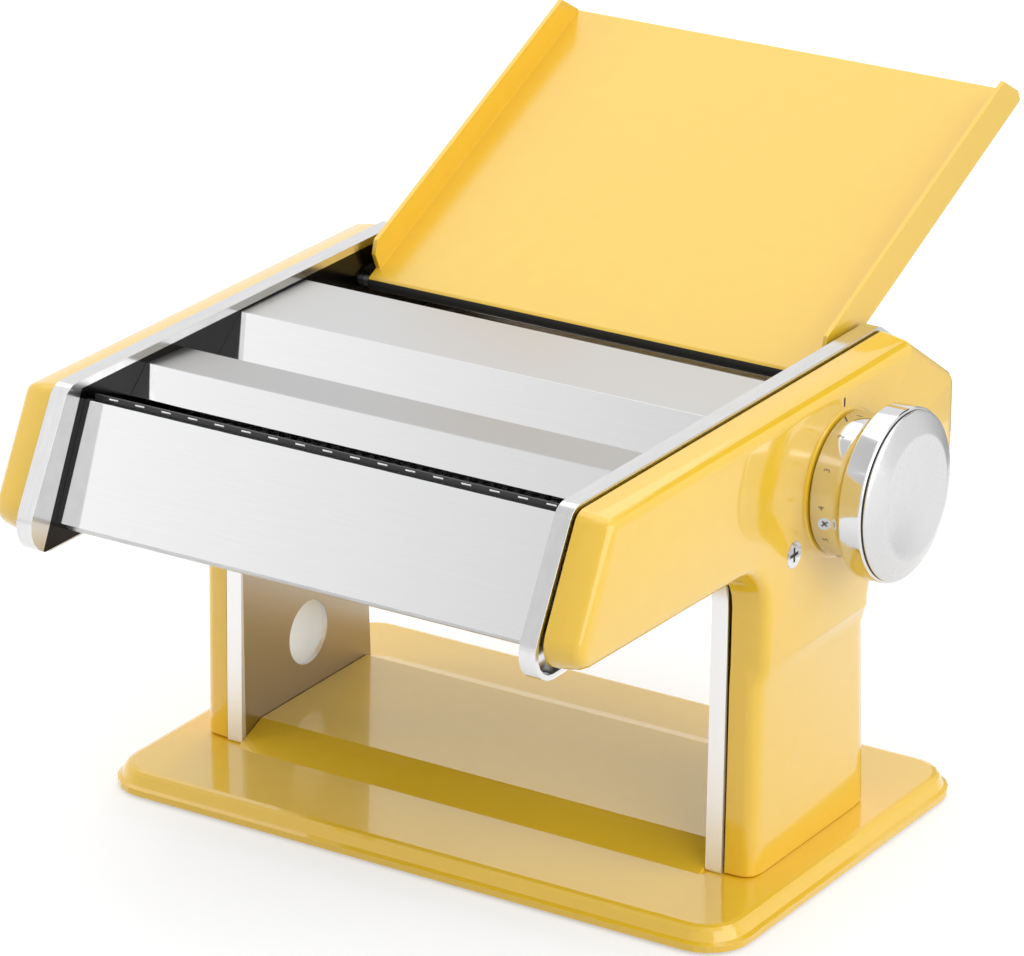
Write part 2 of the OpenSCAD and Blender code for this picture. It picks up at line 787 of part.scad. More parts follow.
// Rear roller, carried by the sliding blocks
module rear_roller() {
  color(steel)
    spun_x(rear_roller_y, roller_z, [[0, -roller_gear_x - roller_gear_w - 0.8],
      [journal_r, -roller_gear_x - roller_gear_w - 0.8], [journal_r, -roll_half],
      [roller_r, -roll_half], [roller_r, roll_half], [journal_r, roll_half],
      [journal_r, web_x], [0, web_x]]);
}

// Gear on the rear roller's left end
module rear_roller_gear() {
  color(nylon)
    gear_x_at(-roller_gear_x - roller_gear_w, -roller_gear_x, rear_roller_y, roller_z,
      gear_view(16, 2, 2, 2.6, 1.1, 0.5), journal_r);
}

// Dial shaft with the eccentric pin that moves the rear roller
module dial_shaft() {
  color(steel)
    difference() {
      union() {
        bar_x(block_out + pass_gap, index_x - pass_gap, knob_y, knob_z, 7);
        bar_x(index_x - pass_gap, barrel_x - 0.4, knob_y, knob_z, dial_r);
        intersection() {
          bar_x(index_x, stem_end, knob_y, knob_z, stem_r);
          translate([index_x, knob_y - 10, knob_z - 10])
            cube([30, 20, 10 + stem_r - 0.9]);
        }
        bar_x(block_out - 2.1, block_out + 1, knob_y + throw, knob_z, pin_r);
      }
      bar_x(barrel_x + 3, stem_end + 1, knob_y, knob_z, 2);
    }
}

// Coil spring that pulls the knob home, wound from flat wire
module knob_spring() {
  turns = 4.5;
  wire = 150;
  color(steel)
    translate([spring_x + 0.1, knob_y, knob_z])
      rotate([0, 90, 0])
        linear_extrude(height = stem_end - spring_x - 0.2, twist = -360 * turns, slices = 72,
          $fn = 8)
          polygon(concat([for (k = [0:10]) 7.6 * [cos(wire * k / 10), sin(wire * k / 10)]],
            [for (k = [10:-1:0]) 6.4 * [cos(wire * k / 10), sin(wire * k / 10)]]));
}

// Washer that holds the spring on the stem
module knob_washer() {
  color(steel)
    difference() {
      bar_x(stem_end, stem_end + 1.2, knob_y, knob_z, 9.5);
      bar_x(stem_end - 1, stem_end + 2, knob_y, knob_z, 2.1);
    }
}

// Screw in the end of the stem
module knob_screw() {
  color(steel)
    difference() {
      union() {
        bar_x(stem_end + 1.2, stem_end + 3.6, knob_y, knob_z, 4);
        bar_x(barrel_x + 4, stem_end + 2, knob_y, knob_z, 1.95);
      }
      translate([stem_end + 2.6, knob_y - 0.6, knob_z - 5])
        cube([2, 1.2, 10]);
    }
}

// Chromed knob barrel with its flange
module knob_barrel() {
  flare = [for (k = [0:6]) let(a = 90 * k / 6)
    [flange_r - 0.6 - 4 * cos(a), flange_x - 11.4 + 4 * sin(a)]];
  color(chrome)
    difference() {
      spun_x(knob_y, knob_z, concat([[0, barrel_x], [barrel_r - 0.5, barrel_x],
        [barrel_r, barrel_x + 0.5]], flare, [[flange_r, flange_x - 6.8],
        [flange_r, flange_x - 0.5], [flange_r - 0.5, flange_x], [13, flange_x],
        [13, spring_x], [0, spring_x]]));
      intersection() {
        bar_x(barrel_x - 1, spring_x + 1, knob_y, knob_z, stem_r + run_gap);
        translate([barrel_x - 1, knob_y - 10, knob_z - 10])
          cube([30, 20, 10 + stem_r - 0.9 + run_gap]);
      }
    }
}

// Satin cap: a sloping ring round a dished face
module knob_cap() {
  dish_r = 18;
  dish = [for (k = [1:6]) let(r = dish_r * k / 6) [r, flange_x + 1.6 + 2 * pow(r / dish_r, 2)]];
  color(steel)
    spun_x(knob_y, knob_z, concat([[0, flange_x - 1.4], [0, flange_x + 1.6]], dish,
      [[dish_r + 0.8, flange_x + 3.5], [23.7, flange_x + 1.6], [24.6, flange_x + 0.9],
      [24.6, flange_x + 0.4], [24, flange_x + 0.4], [24, flange_x], [12.9, flange_x],
      [12.9, flange_x - 1.4]]));
}

// Pin that finds the index holes
module index_pin() {
  color(steel)
    translate([0, knob_y, knob_z])
      bar_x(index_face - 2.2, barrel_x, 0, index_r, index_pin_r);
}

// Grooved cutter roll from ring positions
function cutter_view(pitch, x0, n, ring, left_end, right_end) = concat(
  [[0, left_end], [axle_r, left_end], [axle_r, -shoulder_x], [6, -shoulder_x], [6, -roll_half],
    [groove_r, -roll_half]],
  [for (i = [0:n - 1]) let(x = x0 + i * pitch) each [[groove_r, x - ring / 2],
    [ring_r, x - ring / 2], [ring_r, x + ring / 2], [groove_r, x + ring / 2]]],
  [[groove_r, roll_half], [6, roll_half], [6, shoulder_x], [axle_r, shoulder_x],
    [axle_r, right_end], [0, right_end]]);

// Front roll of the wide pair
module wide_cutter_front() {
  n = ring_count(wide_pitch);
  color(steel)
    spun_x(wide_y - cutter_span / 2, cutter_z, cutter_view(wide_pitch, ring_x0(wide_pitch),
      n, 4.3, -web_x - 1.4, gear_x + gear_w));
}

// Rear roll of the wide pair, driven by the crank
module wide_cutter_rear() {
  n = ring_count(wide_pitch);
  color(steel)
    spun_x(wide_y + cutter_span / 2, cutter_z, cutter_view(wide_pitch,
      ring_x0(wide_pitch) + wide_pitch / 2, n - 1, 4.3, -hub_start, gear_x + gear_w));
}

// Front roll of the narrow pair
module narrow_cutter_front() {
  n = ring_count(narrow_pitch);
  color(steel)
    spun_x(narrow_y - cutter_span / 2, cutter_z, cutter_view(narrow_pitch,
      ring_x0(narrow_pitch), n, 1.8, -web_x - 1.4, gear_x + gear_w));
}

// Rear roll of the narrow pair, driven by the crank
module narrow_cutter_rear() {
  n = ring_count(narrow_pitch);
  color(steel)
    spun_x(narrow_y + cutter_span / 2, cutter_z, cutter_view(narrow_pitch,
      ring_x0(narrow_pitch) + narrow_pitch / 2, n - 1, 1.8, -hub_start, gear_x + gear_w));
}

// Gear on a cutter's right end
module cutter_gear(y, shift) {
  color(nylon)
    gear_x_at(gear_x, gear_x + gear_w, y, cutter_z,
      gear_view(12, cutter_span / 12, 1.3, 1.8, 1.2, shift), axle_r);
}

// Gears of the wide pair
module wide_front_gear() {
  cutter_gear(wide_y - cutter_span / 2, 0);
}

module wide_rear_gear() {
  cutter_gear(wide_y + cutter_span / 2, 0.5);
}

// Gears of the narrow pair
module narrow_front_gear() {
  cutter_gear(narrow_y - cutter_span / 2, 0);
}

module narrow_rear_gear() {
  cutter_gear(narrow_y + cutter_span / 2, 0.5);
}

// Crank socket of the wide pair
module wide_cutter_hub() {
  color(steel)
    hub(wide_y + cutter_span / 2, cutter_z, hub_r);
}

// Crank socket of the narrow pair
module narrow_cutter_hub() {
  color(steel)
    hub(narrow_y + cutter_span / 2, cutter_z, hub_r);
}

// Feed tray: a sloping sheet with a hinge curl and two side lips that reach a little below it
module feed_tray() {
  low = knuckle_r - tray_t;
  skirt = 1.8;
  color(yellow)
    translate([0, hinge_y, hinge_z])
      rotate([tray_slope, 0, 0]) {
        difference() {
          union() {
            bar_x(-tray_half, tray_half, 0, 0, knuckle_r);
            translate([-tray_half, 0, low])
              cube([2 * tray_half, tray_len, tray_t]);
          }
          bar_x(-tray_half - 1, tray_half + 1, 0, 0, hinge_r + run_gap);
        }
        for (x = [-tray_half, tray_half - tray_t])
          prism_x(x, x + tray_t, [[3.4, low], [9, low - skirt], [tray_len, low - skirt],
            [tray_len, low + 1.9], [tray_len - 6, low + lip_h + 0.5],
            [6.4, low + lip_h + 0.5], [3.4, low + lip_h - 3]]);
      }
}

base_plate();
non_slip_pad();
left_side_plate();
right_side_plate();
left_cover();
right_cover();
clamp_sleeve();
cover_posts();
cover_screws();
foot_screws();
foot_nuts();
tie_rods();
tie_nuts();
front_plate();
divider_plate();
roller_guard();
rear_panel();
roller_bushes();
cutter_bushes();
front_scraper();
wide_combs();
narrow_combs();
tray_hinge_rod();
index_plate();
index_posts();
dial_bush();
front_roller();
front_roller_gear();
front_roller_hub();
bearing_blocks();
rear_scraper();
rear_roller();
rear_roller_gear();
dial_shaft();
knob_spring();
knob_washer();
knob_screw();
knob_barrel();
knob_cap();
index_pin();
wide_cutter_front();
wide_front_gear();
wide_cutter_rear();
wide_rear_gear();
wide_cutter_hub();
narrow_cutter_front();
narrow_front_gear();
narrow_cutter_rear();
narrow_rear_gear();
narrow_cutter_hub();
feed_tray();
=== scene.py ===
"""Pasta machine: finishes, small pieces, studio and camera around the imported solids."""
import math

import bmesh
import bpy
from mathutils import Matrix, Vector


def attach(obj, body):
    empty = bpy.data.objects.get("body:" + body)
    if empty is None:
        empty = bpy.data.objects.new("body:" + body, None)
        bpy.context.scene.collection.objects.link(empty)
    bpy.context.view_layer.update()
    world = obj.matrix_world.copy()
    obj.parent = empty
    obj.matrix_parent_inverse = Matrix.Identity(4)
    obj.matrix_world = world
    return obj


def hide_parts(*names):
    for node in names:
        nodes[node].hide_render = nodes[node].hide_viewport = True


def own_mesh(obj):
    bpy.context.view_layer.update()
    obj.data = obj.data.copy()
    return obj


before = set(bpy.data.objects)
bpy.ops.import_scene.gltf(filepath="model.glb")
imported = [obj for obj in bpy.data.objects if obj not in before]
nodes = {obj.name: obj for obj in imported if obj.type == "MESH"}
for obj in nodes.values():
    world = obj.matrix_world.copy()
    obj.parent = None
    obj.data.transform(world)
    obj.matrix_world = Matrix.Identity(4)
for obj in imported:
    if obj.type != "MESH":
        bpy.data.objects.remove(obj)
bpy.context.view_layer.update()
scene = bpy.context.scene
scene.view_settings.view_transform = "Standard"

# Knob axis and barrel, in metres
KNOB_Y = 0.01065
KNOB_Z = 0.1141
BARREL_R = 0.0207
NUMBER_FOOT = 0.1022
FLANGE_X = 0.1162
# Just outside the side plates' inner faces, and the heights where their painted shade ends
INNER_FACE = 0.08008
HEAD_LOW = 0.101
HEAD_HIGH = 0.1436
# Front plate: how far its face leans per unit of height, and the line just ahead of it
PLATE_LEAN = 0.4702
PLATE_AHEAD = -0.175
# Tray curl at the hinge, painted dark as shade where little light comes: what is ahead of and below
# these
CURL_BACK = 0.0354
CURL_HIGH = 0.1347
# Flat tops of the folded guides, which carry painted shade: the slope of each, and the level just
# under it
DIVIDER_SLOPE, DIVIDER_TOP = 0.045, 0.1382
GUARD_SLOPE, GUARD_TOP = 0.006, 0.1427
# Front strips of the legs
LEG_FRONT = -0.0325
# Outer face of the right cover
COVER_FACE = 0.0965

# Sockets of a Mix node, whose names repeat for each kind of data
MIX_FACTOR = 0
COLOUR_A, COLOUR_B, COLOUR_OUT = 6, 7, 2
VALUE_A, VALUE_B, VALUE_OUT = 2, 3, 0


# Node groups for effects that several finishes share

def new_group(name, inputs, outputs):
    """An empty shader group with named sockets; returns the tree and its two end nodes."""
    tree = bpy.data.node_groups.new(name, "ShaderNodeTree")
    for label, kind, value in inputs:
        socket = tree.interface.new_socket(label, in_out="INPUT", socket_type=kind)
        if value is not None:
            socket.default_value = value
    for label, kind in outputs:
        tree.interface.new_socket(label, in_out="OUTPUT", socket_type=kind)
    return tree, tree.nodes.new("NodeGroupInput"), tree.nodes.new("NodeGroupOutput")


def add(tree, kind, **values):
    """A node with the given properties, and inputs given as {socket: value or output}."""
    node = tree.nodes.new(kind)
    for key, value in values.items():
        if key != "sockets":
            setattr(node, key, value)
    for key, value in values.get("sockets", {}).items():
        if isinstance(value, bpy.types.NodeSocket):
            tree.links.new(value, node.inputs[key])
        else:
            node.inputs[key].default_value = value
    return node


def fine_grain_group():
    """Noise on object coordinates, stretched along the axes, as a height and a mask."""
    tree, start, end = new_group(
        "fine_grain",
        [("Stretch", "NodeSocketVector", (1.0, 1.0, 1.0)),
         ("Scale", "NodeSocketFloat", 900.0),
         ("Detail", "NodeSocketFloat", 3.0)],
        [("Height", "NodeSocketFloat"), ("Mask", "NodeSocketFloat")])
    place = add(tree, "ShaderNodeTexCoord").outputs["Object"]
    spread = add(tree, "ShaderNodeVectorMath", operation="MULTIPLY",
                 sockets={0: place, 1: start.outputs["Stretch"]})
    noise = add(tree, "ShaderNodeTexNoise",
                sockets={"Vector": spread.outputs[0], "Scale": start.outputs["Scale"],
                         "Detail": start.outputs["Detail"], "Roughness": 0.6})
    ramp = add(tree, "ShaderNodeMapRange",
               sockets={"Value": noise.outputs[0], "From Min": 0.35, "From Max": 0.65})
    tree.links.new(noise.outputs[0], end.inputs["Height"])
    tree.links.new(ramp.outputs[0], end.inputs["Mask"])
    return tree


def handling_group():
    """Large soft smudges with finer streaks, as a mask from 0 to 1."""
    tree, start, end = new_group(
        "handling",
        [("Scale", "NodeSocketFloat", 22.0), ("Seed", "NodeSocketFloat", 0.0)],
        [("Mask", "NodeSocketFloat")])
    place = add(tree, "ShaderNodeTexCoord").outputs["Object"]
    large = add(tree, "ShaderNodeTexNoise", noise_dimensions="4D",
                sockets={"Vector": place, "W": start.outputs["Seed"],
                         "Scale": start.outputs["Scale"], "Detail": 4.0})
    small = add(tree, "ShaderNodeTexNoise", noise_dimensions="4D",
                sockets={"Vector": place, "W": start.outputs["Seed"],
                         "Scale": 160.0, "Detail": 5.0})
    both = add(tree, "ShaderNodeMath", operation="MULTIPLY",
               sockets={0: large.outputs[0], 1: small.outputs[0]})
    ramp = add(tree, "ShaderNodeMapRange",
               sockets={"Value": both.outputs[0], "From Min": 0.16, "From Max": 0.42})
    tree.links.new(ramp.outputs[0], end.inputs["Mask"])
    return tree


def spun_lines_group():
    """Concentric turning lines about the knob axis, as a height."""
    tree, start, end = new_group(
        "spun_lines", [("Scale", "NodeSocketFloat", 2600.0)],
        [("Height", "NodeSocketFloat")])
    place = add(tree, "ShaderNodeTexCoord").outputs["Object"]
    centred = add(tree, "ShaderNodeVectorMath", operation="SUBTRACT",
                  sockets={0: place, 1: (0.0, KNOB_Y, KNOB_Z)})
    flat = add(tree, "ShaderNodeVectorMath", operation="MULTIPLY",
               sockets={0: centred.outputs[0], 1: (0.0, 1.0, 1.0)})
    radius = add(tree, "ShaderNodeVectorMath", operation="LENGTH",
                 sockets={0: flat.outputs[0]})
    noise = add(tree, "ShaderNodeTexNoise", noise_dimensions="1D",
                sockets={"W": radius.outputs["Value"], "Scale": start.outputs["Scale"],
                         "Detail": 4.0})
    tree.links.new(noise.outputs[0], end.inputs["Height"])
    return tree


fine_grain = fine_grain_group()
handling = handling_group()
spun_lines = spun_lines_group()


# Finishes

def new_finish(name, colour, roughness, metallic=0.0, **sockets):
    """A Principled material; returns it with its tree and shader."""
    mat = bpy.data.materials.new(name)
    mat.use_nodes = True
    tree = mat.node_tree
    shader = tree.nodes["Principled BSDF"]
    shader.inputs["Base Color"].default_value = (*colour, 1.0)
    shader.inputs["Roughness"].default_value = roughness
    shader.inputs["Metallic"].default_value = metallic
    for key, value in sockets.items():
        shader.inputs[key.replace("_", " ")].default_value = value
    return mat, tree, shader


def group_node(tree, group, **sockets):
    """A shared effect placed in a finish, with its own values."""
    node = tree.nodes.new("ShaderNodeGroup")
    node.node_tree = group
    for key, value in sockets.items():
        node.inputs[key].default_value = value
    return node


def roughness_between(tree, shader, mask, low, high):
    """Roughness that goes from low to high as the mask goes from 0 to 1."""
    spread = add(tree, "ShaderNodeMapRange",
                 sockets={"Value": mask, "To Min": low, "To Max": high})
    tree.links.new(spread.outputs[0], shader.inputs["Roughness"])


def colour_between(tree, shader, mask, first, second):
    """Base colour that goes from first to second as the mask goes from 0 to 1."""
    mix = add(tree, "ShaderNodeMix", data_type="RGBA",
              sockets={MIX_FACTOR: mask, COLOUR_A: (*first, 1.0), COLOUR_B: (*second, 1.0)})
    tree.links.new(mix.outputs[COLOUR_OUT], shader.inputs["Base Color"])


def bump_from(tree, shader, height, strength, distance):
    """Fine relief in the normals, from a height."""
    bump = add(tree, "ShaderNodeBump",
               sockets={"Height": height, "Strength": strength, "Distance": distance})
    tree.links.new(bump.outputs[0], shader.inputs["Normal"])


def gloss_paint(name, deep, light, coat, seed):
    """Baked gloss enamel: faint colour drift, slight orange peel, clear coat."""
    mat, tree, shader = new_finish(name, deep, roughness=0.22, Coat_Weight=1.0,
                                   Coat_Roughness=coat)
    marks = group_node(tree, handling, Scale=9.0, Seed=seed)
    colour_between(tree, shader, marks.outputs["Mask"], deep, light)
    peel = group_node(tree, fine_grain, Scale=420.0, Detail=1.5)
    bump_from(tree, shader, peel.outputs["Height"], strength=0.035, distance=0.0006)
    roughness_between(tree, shader, marks.outputs["Mask"], low=0.2, high=0.27)
    return mat


def sheet_steel(name, bright, dull, low, high, stretch, scale, seed):
    """Rolled steel sheet: fine lines along the roll, with handling in its gloss."""
    mat, tree, shader = new_finish(name, bright, low, metallic=1.0)
    lines = group_node(tree, fine_grain, Stretch=stretch, Scale=scale, Detail=4.0)
    marks = group_node(tree, handling, Scale=16.0, Seed=seed)
    colour_between(tree, shader, lines.outputs["Mask"], bright, dull)
    roughness_between(tree, shader, marks.outputs["Mask"], low, high)
    bump_from(tree, shader, lines.outputs["Height"], strength=0.002, distance=0.0003)
    return mat


def change_where(finish, limits, colour, **sockets):
    """Changes a finish's colour and sockets where place . direction exceeds every limit."""
    tree = finish.node_tree
    shader = tree.nodes["Principled BSDF"]
    place = add(tree, "ShaderNodeTexCoord").outputs["Object"]
    mask = None
    for direction, least in limits:
        reach = add(tree, "ShaderNodeVectorMath", operation="DOT_PRODUCT",
                    sockets={0: place, 1: direction})
        above = add(tree, "ShaderNodeMath", operation="GREATER_THAN",
                    sockets={0: reach.outputs["Value"], 1: least})
        if mask is None:
            mask = above.outputs[0]
        else:
            mask = add(tree, "ShaderNodeMath", operation="MULTIPLY",
                       sockets={0: mask, 1: above.outputs[0]}).outputs[0]
    before = shader.inputs["Base Color"].links[0].from_socket
    mix = add(tree, "ShaderNodeMix", data_type="RGBA",
              sockets={MIX_FACTOR: mask, COLOUR_A: before, COLOUR_B: (*colour, 1.0)})
    tree.links.new(mix.outputs[COLOUR_OUT], shader.inputs["Base Color"])
    for key, value in sockets.items():
        socket = shader.inputs[key.replace("_", " ")]
        before = socket.links[0].from_socket if socket.is_linked else socket.default_value
        blend = add(tree, "ShaderNodeMix", data_type="FLOAT",
                    sockets={MIX_FACTOR: mask, VALUE_A: before, VALUE_B: value})
        tree.links.new(blend.outputs[VALUE_OUT], socket)


def moulded(name, colour, light, roughness, scale, seed):
    """Moulded plastic or rubber with a fine skin."""
    mat, tree, shader = new_finish(name, colour, roughness)
    skin = group_node(tree, fine_grain, Scale=scale, Detail=3.0)
    marks = group_node(tree, handling, Scale=30.0, Seed=seed)
    colour_between(tree, shader, marks.outputs["Mask"], colour, light)
    roughness_between(tree, shader, skin.outputs["Mask"], roughness, roughness + 0.12)
    bump_from(tree, shader, skin.outputs["Height"], strength=0.12, distance=0.0003)
    return mat


def spun_metal(name, colour, roughness, scale, strength):
    """Metal turned on the knob's axis."""
    mat, tree, shader = new_finish(name, colour, roughness, metallic=1.0)
    lines = group_node(tree, spun_lines, Scale=scale)
    marks = group_node(tree, handling, Scale=26.0, Seed=7.0)
    roughness_between(tree, shader, marks.outputs["Mask"], roughness, roughness + 0.08)
    bump_from(tree, shader, lines.outputs["Height"], strength, distance=0.0002)
    return mat


YELLOW_DEEP = (0.88, 0.55, 0.026)
YELLOW_LIGHT = (0.9, 0.57, 0.032)
yellow_paint = gloss_paint("yellow_paint", YELLOW_DEEP, YELLOW_LIGHT, coat=0.04, seed=1.0)
tray_paint = gloss_paint("tray_paint", YELLOW_DEEP, YELLOW_LIGHT, coat=0.3, seed=1.0)
# Painted shade: the tray's curl at the hinge is coloured near-black, with no coat
change_where(tray_paint, [((0, -1, 0), -CURL_BACK), ((0, 0, -1), -CURL_HIGH)],
             (0.012, 0.011, 0.008), Roughness=0.8, Coat_Weight=0.0)

rim_steel = sheet_steel("rim_steel", (0.74, 0.74, 0.74), (0.70, 0.70, 0.705), low=0.14, high=0.22,
                        stretch=(1.0, 0.2, 0.2), scale=700.0, seed=2.0)
BETWEEN_SIDES = [((1, 0, 0), -INNER_FACE), ((-1, 0, 0), -INNER_FACE)]
BELOW_HEAD = [((0, 0, -1), -HEAD_LOW)]
# Painted shade: the side plates' inner faces in the head, behind the front plate, are coloured
# near-black
change_where(rim_steel, [*BETWEEN_SIDES, ((0, 0, 1), HEAD_LOW), ((0, 0, -1), -HEAD_HIGH),
                         ((0, 1, -PLATE_LEAN), PLATE_AHEAD)], (0.02, 0.02, 0.02))
# Painted reflection and shade: the side plates' inner faces below the head are coloured brown, for
# the yellow they reflect in shade
change_where(rim_steel, [*BETWEEN_SIDES, *BELOW_HEAD, ((0, 1, 0), LEG_FRONT)],
             (0.5, 0.43, 0.33), Roughness=0.3)
# Painted light: the legs' front strips are coloured lighter than the rest of the rim, and rougher
change_where(rim_steel, [((0, -1, 0), -LEG_FRONT), *BELOW_HEAD], (0.9, 0.9, 0.9), Roughness=0.5)

GUIDE_BRIGHT = (0.84, 0.84, 0.845)
GUIDE_DULL = (0.825, 0.825, 0.835)
guide_steel, divider_steel, guard_steel = [
    sheet_steel(name, GUIDE_BRIGHT, GUIDE_DULL, low=0.06, high=0.09, stretch=(0.04, 1.0, 1.0),
                scale=1500.0, seed=3.0)
    for name in ("guide_steel", "divider_steel", "guard_steel")]
# Painted shade: the flat tops of the divider and the guard are coloured a darker grey than their
# faces, and rougher
change_where(divider_steel, [((0, DIVIDER_SLOPE, 1), DIVIDER_TOP)], (0.46, 0.46, 0.46),
             Roughness=0.3)
change_where(guard_steel, [((0, GUARD_SLOPE, 1), GUARD_TOP)], (0.6, 0.6, 0.6), Roughness=0.34)

plain_steel = sheet_steel("plain_steel", (0.62, 0.62, 0.62), (0.52, 0.52, 0.53), low=0.3, high=0.42,
                          stretch=(0.1, 1.0, 1.0), scale=1200.0, seed=4.0)
# Painted shade: the rollers' and cutters' metal is coloured darker than the plain steel, for the
# shade inside the head
roller_metal = sheet_steel("roller_metal", (0.50, 0.50, 0.50), (0.42, 0.42, 0.42), low=0.24,
                           high=0.34, stretch=(1.0, 0.02, 0.02), scale=2600.0, seed=5.0)
knob_chrome = spun_metal("knob_chrome", (0.7, 0.7, 0.7), roughness=0.05, scale=1500.0,
                         strength=0.01)
satin_cap = spun_metal("satin_cap", (0.64, 0.64, 0.645), roughness=0.24, scale=4200.0,
                       strength=0.04)

white_nylon = moulded("white_nylon", (0.78, 0.77, 0.72), (0.72, 0.70, 0.64), roughness=0.42,
                      scale=900.0, seed=6.0)
# Painted light: the sleeve's white nylon is coloured lighter than the other nylon, so its shaded
# bore reads white
sleeve_nylon_painted_light = moulded("sleeve_nylon_painted_light", (0.93, 0.93, 0.91), (0.9, 0.9, 0.88), roughness=0.4,
                       scale=900.0, seed=6.0)
black_plastic = moulded("black_plastic", (0.018, 0.018, 0.019), (0.028, 0.028, 0.028),
                        roughness=0.42, scale=1300.0, seed=7.0)
pad_rubber = moulded("pad_rubber", (0.03, 0.03, 0.03), (0.05, 0.05, 0.048), roughness=0.62,
                     scale=1600.0, seed=8.0)
dial_ink = moulded("dial_ink", (0.2, 0.17, 0.13), (0.26, 0.22, 0.17), roughness=0.5, scale=2000.0,
                   seed=9.0)


# Solids take their finish, soft edges and smooth curves

def smooth_by_angle(name, limit):
    """Modifier group: faces shade smooth, edges sharper than the limit stay sharp."""
    tree = bpy.data.node_groups.new(name, "GeometryNodeTree")
    tree.interface.new_socket("Geometry", in_out="INPUT", socket_type="NodeSocketGeometry")
    tree.interface.new_socket("Geometry", in_out="OUTPUT", socket_type="NodeSocketGeometry")
    start = tree.nodes.new("NodeGroupInput")
    end = tree.nodes.new("NodeGroupOutput")
    faces = add(tree, "GeometryNodeSetShadeSmooth", domain="FACE",
                sockets={"Geometry": start.outputs[0]})
    angle = add(tree, "GeometryNodeInputMeshEdgeAngle")
    soft = add(tree, "FunctionNodeCompare", data_type="FLOAT", operation="LESS_THAN",
               sockets={0: angle.outputs["Unsigned Angle"], 1: limit})
    edges = add(tree, "GeometryNodeSetShadeSmooth", domain="EDGE",
                sockets={"Geometry": faces.outputs[0], "Shade Smooth": soft.outputs[0]})
    tree.links.new(edges.outputs[0], end.inputs[0])
    return tree


# Creases sharper than these stay: on curved solids, and on the base with its shallow step
smooth_curves = smooth_by_angle("smooth_curves", math.radians(32))
crisp_folds = smooth_by_angle("crisp_folds", math.radians(15))
# How near loose corners join, and the angles of a flat face and of an edge to round
JOIN_REACH = 0.000004
FLAT_ANGLE = math.radians(0.4)
EDGE_ANGLE = math.radians(36)


def soften(piece, edge=0.0, segments=2, shading=smooth_curves):
    """Joins a solid's loose triangles, rounds its edges and smooths its curves."""
    weld = piece.modifiers.new("join", "WELD")
    weld.merge_threshold = JOIN_REACH
    if edge:
        flat = piece.modifiers.new("flat_faces", "DECIMATE")
        flat.decimate_type = "DISSOLVE"
        flat.angle_limit = FLAT_ANGLE
        bevel = piece.modifiers.new("soft_edges", "BEVEL")
        bevel.width = edge
        bevel.segments = segments
        bevel.limit_method = "ANGLE"
        bevel.angle_limit = EDGE_ANGLE
        bevel.use_clamp_overlap = True
    curves = piece.modifiers.new("smooth_curves", "NODES")
    curves.node_group = shading
    if edge:
        level = piece.modifiers.new("level_faces", "WEIGHTED_NORMAL")
        level.mode = "FACE_AREA"
        level.weight = 100
        level.keep_sharp = True


def dress(names, finish, edge=0.0, segments=2, shading=smooth_curves):
    """Gives solids their finish and slot, and softens them."""
    for name in names:
        piece = nodes[name]
        piece.data.materials.clear()
        piece.data.materials.append(finish)
        soften(piece, edge, segments, shading)


dress(["base_plate"], yellow_paint, edge=0.0006, shading=crisp_folds)
dress(["left_cover", "right_cover"], yellow_paint)
dress(["feed_tray"], tray_paint, edge=0.0005)
dress(["left_side_plate", "right_side_plate"], rim_steel, edge=0.0007, segments=3)
dress(["front_plate", "rear_panel"], guide_steel, edge=0.0002)
dress(["divider_plate"], divider_steel, edge=0.0002)
dress(["roller_guard"], guard_steel, edge=0.0002)
dress(["knob_barrel"], knob_chrome, edge=0.0003)
dress(["knob_cap"], satin_cap, edge=0.0002)
dress(["cover_screws"], knob_chrome)
dress(["foot_screws", "foot_nuts", "tie_nuts", "knob_screw", "index_plate",
       "cover_posts", "index_posts", "tie_rods", "tray_hinge_rod", "knob_washer", "index_pin",
       "dial_shaft", "front_roller_hub", "wide_cutter_hub", "narrow_cutter_hub"],
      plain_steel)
dress(["front_roller", "rear_roller"], roller_metal)
dress(["wide_cutter_front", "wide_cutter_rear", "narrow_cutter_front", "narrow_cutter_rear"],
      roller_metal)
dress(["roller_bushes", "cutter_bushes", "bearing_blocks", "dial_bush",
       "front_roller_gear", "rear_roller_gear", "wide_front_gear", "wide_rear_gear",
       "narrow_front_gear", "narrow_rear_gear"], white_nylon)
dress(["clamp_sleeve"], sleeve_nylon_painted_light)
dress(["front_scraper", "rear_scraper", "wide_combs", "narrow_combs"], black_plastic)
dress(["non_slip_pad"], pad_rubber, edge=0.0004)


# New pieces, made as a bmesh and placed on a body

def new_piece(name, shape, finish, body="frame"):
    """An object on a body from a finished bmesh, its faces turned outwards."""
    bmesh.ops.recalc_face_normals(shape, faces=shape.faces)
    if shape.calc_volume(signed=True) < 0.0:
        bmesh.ops.reverse_faces(shape, faces=shape.faces)
    mesh = bpy.data.meshes.new(name)
    shape.to_mesh(mesh)
    shape.free()
    piece = bpy.data.objects.new(name, mesh)
    scene.collection.objects.link(piece)
    mesh.materials.append(finish)
    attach(piece, body)
    return piece


# Dial numbers, printed round the barrel
NUMBERS = 7
NUMBER_STEP = math.radians(30)
NUMBER_SIZE = 0.0026
NUMBER_THICK = 0.00008
NUMBER_SUNK = 0.00002
NUMBER_MERGE = 0.00001


